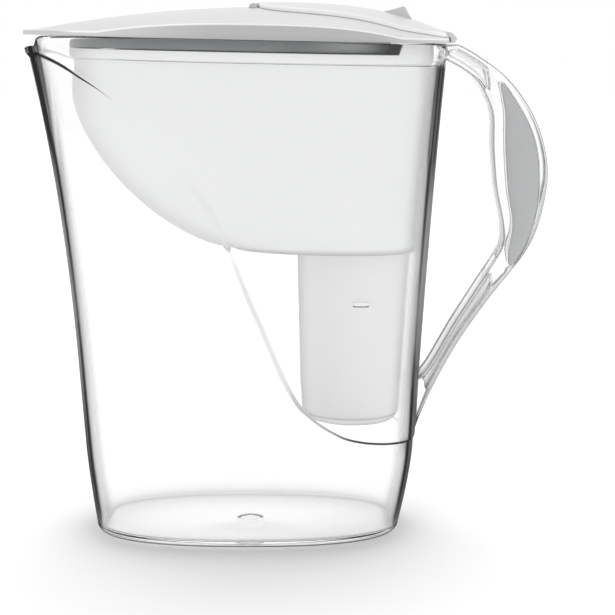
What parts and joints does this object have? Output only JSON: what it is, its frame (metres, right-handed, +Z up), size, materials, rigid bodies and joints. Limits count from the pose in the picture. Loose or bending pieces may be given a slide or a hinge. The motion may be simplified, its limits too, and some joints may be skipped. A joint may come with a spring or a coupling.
{
  "type": "water filter pitcher",
  "caption": "Clear pitcher with a loop handle, a lift-out white funnel holding a filter cartridge, and a domed grey lid with a hinged fill flap.",
  "frame": {"origin": "on the base plane, under the middle of the overall box (between the lid's beak and the handle)", "axes": "+Z up, +X toward the handle and -X toward the spout, Y across the short way"},
  "size_m": [0.2741, 0.1376, 0.2789],
  "materials": {
    "jug_clear": "clear, glossy",
    "handle_clear": "clear, glossy",
    "grip_grey": "satin mid-grey",
    "funnel_white": "milky white, satin",
    "housing_white": "milky white, satin",
    "cartridge_white": "white, satin",
    "cap_white": "white, satin",
    "mesh": "fine white mesh",
    "granules": "dark loose grains",
    "lid_grey": "pale grey, satin",
    "skirt_grey": "dark grey, satin",
    "flap_grey": "pale grey, satin"
  },
  "bodies": {
    "jug": {"jug_body": "jug_clear", "handle_frame": "handle_clear", "grip_front": "grip_grey", "grip_back": "grip_grey"},
    "funnel": {"funnel_hopper": "funnel_white", "filter_housing": "housing_white"},
    "lid": {"lid_shell": "lid_grey", "lid_skirt": "skirt_grey"},
    "flap": {"flap": "flap_grey"},
    "cartridge": {"cartridge_shell": "cartridge_white", "cartridge_cap": "cap_white", "inlet_screen": "mesh", "filter_media": "granules", "outlet_screen": "mesh"}
  },
  "joints": [
    {"name": "funnel_lift", "type": "slide", "parent": "jug", "child": "funnel", "axis": [0.0209, 0, 0.9998], "range_m": [0, 0.22]},
    {"name": "lid_lift", "type": "slide", "parent": "funnel", "child": "lid", "axis": [0.0209, 0, 0.9998], "range_m": [0, 0.08]},
    {"name": "flap_hinge", "type": "hinge", "parent": "lid", "child": "flap", "pos_m": [-0.01633, 0, 0.27606], "axis": [0, -1, 0], "range_deg": [0, 100]},
    {"name": "cartridge_lift", "type": "slide", "parent": "funnel", "child": "cartridge", "axis": [0.0209, 0, 0.9998], "range_m": [0, 0.076]}
  ]
}
